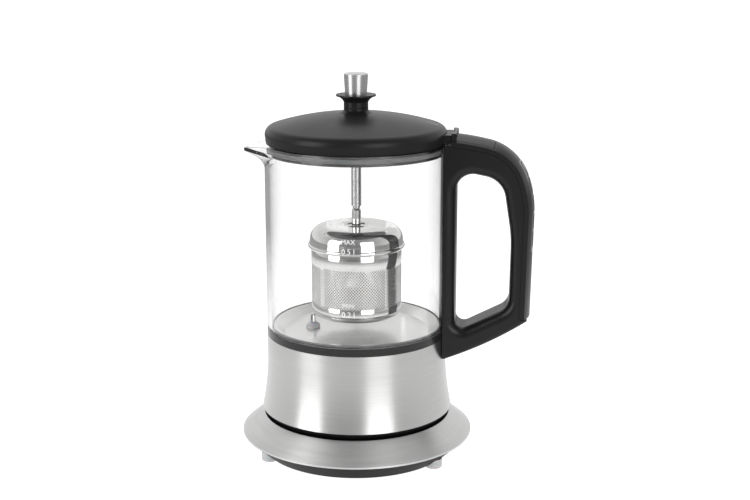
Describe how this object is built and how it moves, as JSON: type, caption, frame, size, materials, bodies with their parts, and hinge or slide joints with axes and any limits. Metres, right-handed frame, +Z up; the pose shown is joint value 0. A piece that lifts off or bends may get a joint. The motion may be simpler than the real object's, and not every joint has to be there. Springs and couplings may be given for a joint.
{
  "type": "automatic tea maker",
  "caption": "Glass tea maker on a round cordless power base: steel jug foot, spout, control handle, lift-out black lid and an infuser basket hung on a lifting rod",
  "frame": {"origin": "On the jug's vertical axis, at the level the base's feet stand on", "axes": "+Z up, +X from the axis towards the handle, the spout at -X, +Y towards the back"},
  "size_m": [0.1703, 0.1358, 0.2242],
  "materials": {
    "brushed_steel": "brushed",
    "pan_steel": "radial brushed",
    "polished_steel": "polished",
    "basket_steel": "satin, perforated",
    "screw_steel": "plain",
    "aluminium": "plain",
    "brass": "plain",
    "black_plastic": "matt",
    "satin_black": "fine satin",
    "handle_black": "satin",
    "panel_black": "gloss",
    "cream_plastic": "matt",
    "board_resin": "solder resist",
    "black_rubber": "matt",
    "grey_rubber": "matt",
    "grey_silicone": "matt",
    "clear_glass": "clear"
  },
  "bodies": {
    "base": {"base_top_plate": "brushed_steel", "base_deck": "black_plastic", "base_housing": "black_plastic", "base_feet": "grey_rubber", "base_screws": "screw_steel", "base_connector": "black_plastic", "base_contacts": "brass", "cord_gland": "black_rubber"},
    "jug_socket": {"jug_socket": "black_plastic", "socket_contacts": "brass"},
    "jug": {"jug_bottom_cover": "black_plastic", "jug_screws": "screw_steel", "steel_sleeve": "brushed_steel", "power_board": "board_resin", "heating_element": "screw_steel", "dry_boil_cutout": "cream_plastic", "trim_ring": "black_plastic", "glass_seal": "grey_silicone", "heater_plate": "pan_steel", "heat_spreader": "aluminium", "sensor_pin": "polished_steel", "sensor_grommet": "grey_silicone", "glass_body": "clear_glass", "handle_shell": "handle_black", "handle_cover": "handle_black", "control_panel": "panel_black", "control_board": "board_resin", "button_spring": "screw_steel", "handle_screws": "screw_steel"},
    "lid_button": {"lid_button": "handle_black"},
    "lid": {"lid_cover": "satin_black", "lid_collar": "polished_steel", "lid_seal": "grey_silicone", "lid_bush": "black_plastic"},
    "infuser": {"knob_collar": "satin_black", "knob_cap": "brushed_steel", "lift_rod": "brushed_steel", "infuser_stem": "polished_steel", "infuser_cap": "polished_steel", "infuser_basket": "basket_steel"},
    "power_key_body": {"power_key": "panel_black"},
    "strength_key_body": {"strength_key": "panel_black"},
    "temperature_key_body": {"temperature_key": "panel_black"},
    "keep_warm_key_body": {"keep_warm_key": "panel_black"},
    "start_key_body": {"start_key": "panel_black"}
  },
  "joints": [
    {"name": "jug_lift", "type": "slide", "parent": "base", "child": "jug_socket", "axis": [0, 0, 1], "range_m": [0, 0.1]},
    {"name": "jug_swivel", "type": "hinge", "parent": "jug_socket", "child": "jug", "pos_m": [0, 0, 0.03], "axis": [0, 0, 1], "continuous": true},
    {"name": "lid_lift", "type": "slide", "parent": "jug", "child": "lid", "axis": [0, 0, 1], "range_m": [0, 0.16]},
    {"name": "infuser_lift", "type": "slide", "parent": "lid", "child": "infuser", "axis": [0, 0, 1], "range_m": [0, 0.04]},
    {"name": "lid_button_press", "type": "slide", "parent": "jug", "child": "lid_button", "axis": [-0.1756, 0, -0.9845], "range_m": [0, 0.0015], "stiffness_N_per_m": 500, "springref_m": -0.003, "deforming": ["button_spring"]},
    {"name": "power_key_press", "type": "slide", "parent": "jug", "child": "power_key_body", "axis": [-0.885, 0, -0.4656], "range_m": [0, 0.0005], "stiffness_N_per_m": 800, "springref_m": -0.001},
    {"name": "strength_key_press", "type": "slide", "parent": "jug", "child": "strength_key_body", "axis": [-0.9663, 0, -0.2573], "range_m": [0, 0.0005], "stiffness_N_per_m": 800, "springref_m": -0.001},
    {"name": "temperature_key_press", "type": "slide", "parent": "jug", "child": "temperature_key_body", "axis": [-0.996, 0, -0.0896], "range_m": [0, 0.0005], "stiffness_N_per_m": 800, "springref_m": -0.001},
    {"name": "keep_warm_key_press", "type": "slide", "parent": "jug", "child": "keep_warm_key_body", "axis": [-0.9998, 0, 0.0192], "range_m": [0, 0.0005], "stiffness_N_per_m": 800, "springref_m": -0.001},
    {"name": "start_key_press", "type": "slide", "parent": "jug", "child": "start_key_body", "axis": [-0.9998, 0, 0.0192], "range_m": [0, 0.0005], "stiffness_N_per_m": 800, "springref_m": -0.001}
  ]
}
